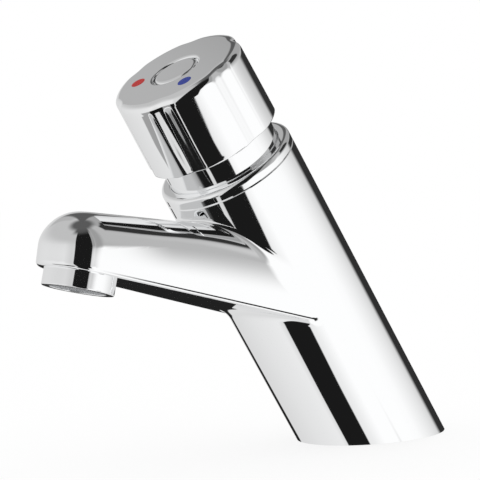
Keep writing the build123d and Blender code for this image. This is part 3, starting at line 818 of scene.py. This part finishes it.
def plainMaterial(name, colour, roughness, metallic=0.0, coat=0.0, shine=0.5):
    # moulded or machined finish with a fine grain
    g = grainLook
    mat, n = newMaterial(name)
    place = n.out(n.add("ShaderNodeTexCoord"), "Object")
    grain = n.noise(place, g["scale"], g["detail"])
    # the mix node's colours are its inputs 6 and 7 and its output 2
    dark = [c * g["dark"] for c in colour]
    tint = n.add("ShaderNodeMix", {"data_type": "RGBA"},
                 i0=grain.step(*g["span"]), i6=(*dark, 1.0), i7=(*colour, 1.0))
    bump = n.add("ShaderNodeBump", None, Strength=g["strength"], Distance=g["height"], Height=grain)
    shader = n.add("ShaderNodeBsdfPrincipled", None, Base_Color=n.out(tint, 2), Metallic=metallic,
                   Roughness=roughness + grain * g["roughness"], Coat_Weight=coat,
                   Specular_IOR_Level=shine, Normal=n.out(bump))
    n.add("ShaderNodeOutputMaterial", None, Surface=n.out(shader))
    return mat


finishes = {
    "bodyChrome": chromeMaterial("bodyChrome", 0.02),
    "knobChrome": chromeMaterial("knobChrome", 0.02),
    "ringChrome": chromeMaterial("ringChrome", 0.03),
    "hotRed": plainMaterial("hotRed", (0.50, 0.012, 0.010), 0.3, shine=0.2),
    "coldBlue": plainMaterial("coldBlue", (0.012, 0.035, 0.30), 0.3, shine=0.2),
    "greyPlastic": plainMaterial("greyPlastic", (0.30, 0.31, 0.32), 0.45),
    "palePlastic": plainMaterial("palePlastic", (0.80, 0.80, 0.77), 0.40),
    "brass": plainMaterial("brass", (0.70, 0.50, 0.22), 0.25, metallic=1.0),
    "rubber": plainMaterial("rubber", (0.02, 0.02, 0.022), 0.6),
    "steel": plainMaterial("steel", (0.55, 0.55, 0.56), 0.3, metallic=1.0),
    "ceramic": plainMaterial("ceramic", (0.88, 0.87, 0.85), 0.2, coat=0.3),
}
finishOf = {
    "bodyChrome": (bodySkin, bodyFoot, mouth),
    "knobChrome": (knob, cap),
    "ringChrome": (collar, aeratorRing),
    "hotRed": (hotDot,),
    "coldBlue": (coldDot,),
    "steel": springs,
}
slotFinish = {
    "aerator_plastic": "greyPlastic", "cartridge_brass": "brass", "cartridge_plastic": "palePlastic",
    "disc_ceramic": "ceramic", "seal_rubber": "rubber", "steel": "steel",
    "body_chrome": "bodyChrome", "collar_chrome": "ringChrome", "knob_chrome": "knobChrome",
    "cap_chrome": "knobChrome", "aerator_chrome": "ringChrome",
    "hot_mark": "hotRed", "cold_mark": "coldBlue",
}


def dress(obj, mat):
    obj.data.materials.clear()
    obj.data.materials.append(mat)


for finish, pieces in finishOf.items():
    for piece in pieces:
        dress(piece, finishes[finish])
nodeSlot = {s["node"]: s["material_slot"] for s in frame["record"]["subparts"]}
for nodeName, node in frame["nodes"].items():
    dress(node, finishes[slotFinish[nodeSlot[nodeName]]])
print("materials on")

floorLook = {"size": 3.0, "drop": 0.0001, "glow": 0.8}  # metres, and the share of its own light


def makeFloor():
    # a white floor that catches the tap's shadow, seen by the camera but not by the chrome
    half = floorLook["size"] / 2
    drop = -floorLook["drop"]
    mesh = bpy.data.meshes.new("floor")
    mesh.from_pydata([(-half, -half, drop), (half, -half, drop), (half, half, drop), (-half, half, drop)],
                     [], [[0, 1, 2, 3]])
    floor = addObject("floor", mesh)
    mat, n = newMaterial("paleFloor")
    path = n.add("ShaderNodeLightPath")
    seen = n.out(path, "Is Camera Ray").math("MAXIMUM", n.out(path, "Is Glossy Ray"))
    seen = seen.math("MAXIMUM", n.out(path, "Is Transmission Ray"))
    diffuse = n.add("ShaderNodeBsdfDiffuse", None, Color=(1.0, 1.0, 1.0, 1.0))
    glow = n.add("ShaderNodeEmission", None, Strength=1.0)
    mix = n.add("ShaderNodeMixShader", None,
                i0=seen * floorLook["glow"], i1=n.out(diffuse), i2=n.out(glow))
    n.add("ShaderNodeOutputMaterial", None, Surface=n.out(mix))
    mesh.materials.append(mat)
    floor.visible_glossy = False


makeFloor()

# What the chrome reflects, by direction in degrees. Azimuth 0 is square to the spout, on the side
# away from the camera, which stands at -141; its right is at 129 and its left at -51.
# The base is the brightness by azimuth where no panel stands.
studioBase = [(-180, 1.0), (-165, 0.85), (-120, 0.66), (-100, 0.83), (-40, 0.77), (5, 0.70), (40, 0.74),
              (88, 0.66), (102, 0.78), (120, 0.90), (132, 0.98), (144, 1.0), (180, 1.0)]
# Panels: azimuth span and softness, elevation span and softness, brightness and kind. A screen
# shifts along the tap, and a short one also ends where the tap's lower half sees it. Later ones
# lie in front.
studioPanels = {
    "sky": ((-181, 181, 1), (22, 95, 40), 0.52, "far"),
    "rightFront": ((136, 181, 12), (4, 95, 11), 0.47, "far"),
    "besideCamera": ((158, 181, 16), (5, 95, 14), 0.33, "far"),
    "besideCameraEnd": ((-181, -168, 2), (5, 95, 14), 0.33, "far"),
    "rightBehind": ((35, 130, 24), (14, 95, 16), 0.36, "far"),
    "greyBehind": ((6, 30, 6), (24, 60, 8), 0.44, "far"),
    "darkBehind": ((23, 52, 8), (26, 95, 8), 0.10, "far"),
    "darkRight": ((94, 128, 6), (26, 60, 6), 0.03, "far"),
    "lowLeft": ((-84, -40, 3), (-75, -33, 3), 0.34, "short"),
    "lowFrontLeft": ((-111, -81, 1), (-75, -33, 3), 0.006, "short"),
    "lowRight": ((140, 160, 6), (-46, -22, 4), 0.02, "far"),
    "cameraScreen": ((-165, -120, 2), (-80, 95, 10), 0.010, "screen"),
    "highFront": ((-181, -110, 24), (60, 95, 16), 0.08, "far"),
    "overhead": ((-181, 181, 1), (71, 95, 14), 0.10, "far"),
    "levelBehind": ((38, 86, 12), (-10, 13, 3), 0.028, "far"),
    "lowBehind": ((15, 42, 2), (-25, -12.5, 2), 0.015, "far"),
}
# The screens stand at a finite distance, so their azimuth shifts along the tap:
# cosine to the body's axis, degrees
screenShift = [(-0.45, 8), (-0.40, 3), (-0.36, -5), (-0.325, 5), (-0.287, -7), (0.0, -8)]
shiftLimit = 20
upperStart = -0.395  # cosine to the body's axis under which the two short panels end
upperSoftness = 0.016


def makeWorld():
    # white for the camera; glossy rays see a bright studio with dark screens round the tap
    world = bpy.data.worlds.new("studio")
    bpy.context.scene.world = world
    world.use_nodes = True
    n = Nodes(world.node_tree)
    split = n.add("ShaderNodeSeparateXYZ", None, Vector=n.out(n.add("ShaderNodeTexCoord"), "Generated"))
    x, y, z = (n.out(split, axis) for axis in "XYZ")
    azimuth = x.math("ARCTAN2", y) * math.degrees(1)
    elevation = z.math("ARCSINE") * math.degrees(1)
    level = n.ramp(azimuth / 360.0 + 0.5, [(place / 360.0 + 0.5, tone) for place, tone in studioBase])
    lean = x * leanAxis[0] + z * leanAxis[2]
    upper = lean.step(upperStart - upperSoftness / 2, upperStart + upperSoftness / 2)
    # a ramp holds 0 to 1, so the cosine and the degrees are brought into that range and back
    swing = 2 * shiftLimit
    stops = [(place + 0.5, (turn + shiftLimit) / swing) for place, turn in screenShift]
    shift = n.ramp(lean + 0.5, stops) * swing - shiftLimit
    for azimuths, elevations, tone, kind in studioPanels.values():
        around = azimuth if kind == "far" else azimuth - shift
        mask = around.between(*azimuths) * elevation.between(*elevations)
        mask = mask * upper if kind == "short" else mask
        level = level + (tone - level) * mask
    path = n.add("ShaderNodeLightPath")
    mirror = n.out(path, "Is Glossy Ray").math("MAXIMUM", n.out(path, "Is Transmission Ray"))
    sky = n.add("ShaderNodeBackground", None, Color=level * mirror + (1 - mirror), Strength=1.0)
    n.add("ShaderNodeOutputWorld", None, Surface=n.out(sky))


makeWorld()
print("studio made")

# Camera at the photograph's angle
cameraView = {
    "target": np.array([-57.88, 0.0, 76.91]), "distance": 900.0,
    "azimuth": math.radians(39.31), "elevation": math.radians(4.08), "roll": math.radians(-2.93),
    "focalPixels": 2541.79, "imagePixels": 480, "sensor": 36.0,
    "clipStart": 0.05, "clipEnd": 20.0,  # metres
}


def makeCamera():
    c = cameraView
    a, e, roll = c["azimuth"], c["elevation"], c["roll"]
    back = Vector((-math.sin(a) * math.cos(e), -math.cos(a) * math.cos(e), math.sin(e)))
    right = Vector((math.cos(a), -math.sin(a), 0.0))
    up = back.cross(right)
    rightTurned = right * math.cos(roll) + up * math.sin(roll)
    upTurned = up * math.cos(roll) - right * math.sin(roll)
    data = bpy.data.cameras.new("camera")
    data.lens = c["focalPixels"] / c["imagePixels"] * c["sensor"]
    data.sensor_width = c["sensor"]
    data.sensor_fit = "HORIZONTAL"
    data.clip_start = c["clipStart"]
    data.clip_end = c["clipEnd"]
    cam = addObject("camera", data)
    turn = Matrix((rightTurned, upTurned, back)).transposed()
    place = (Vector(c["target"]) + back * c["distance"]) * mm
    cam.matrix_world = Matrix.Translation(place) @ turn.to_4x4()
    bpy.context.scene.camera = cam


makeCamera()
bpy.context.scene.view_settings.view_transform = "Standard"
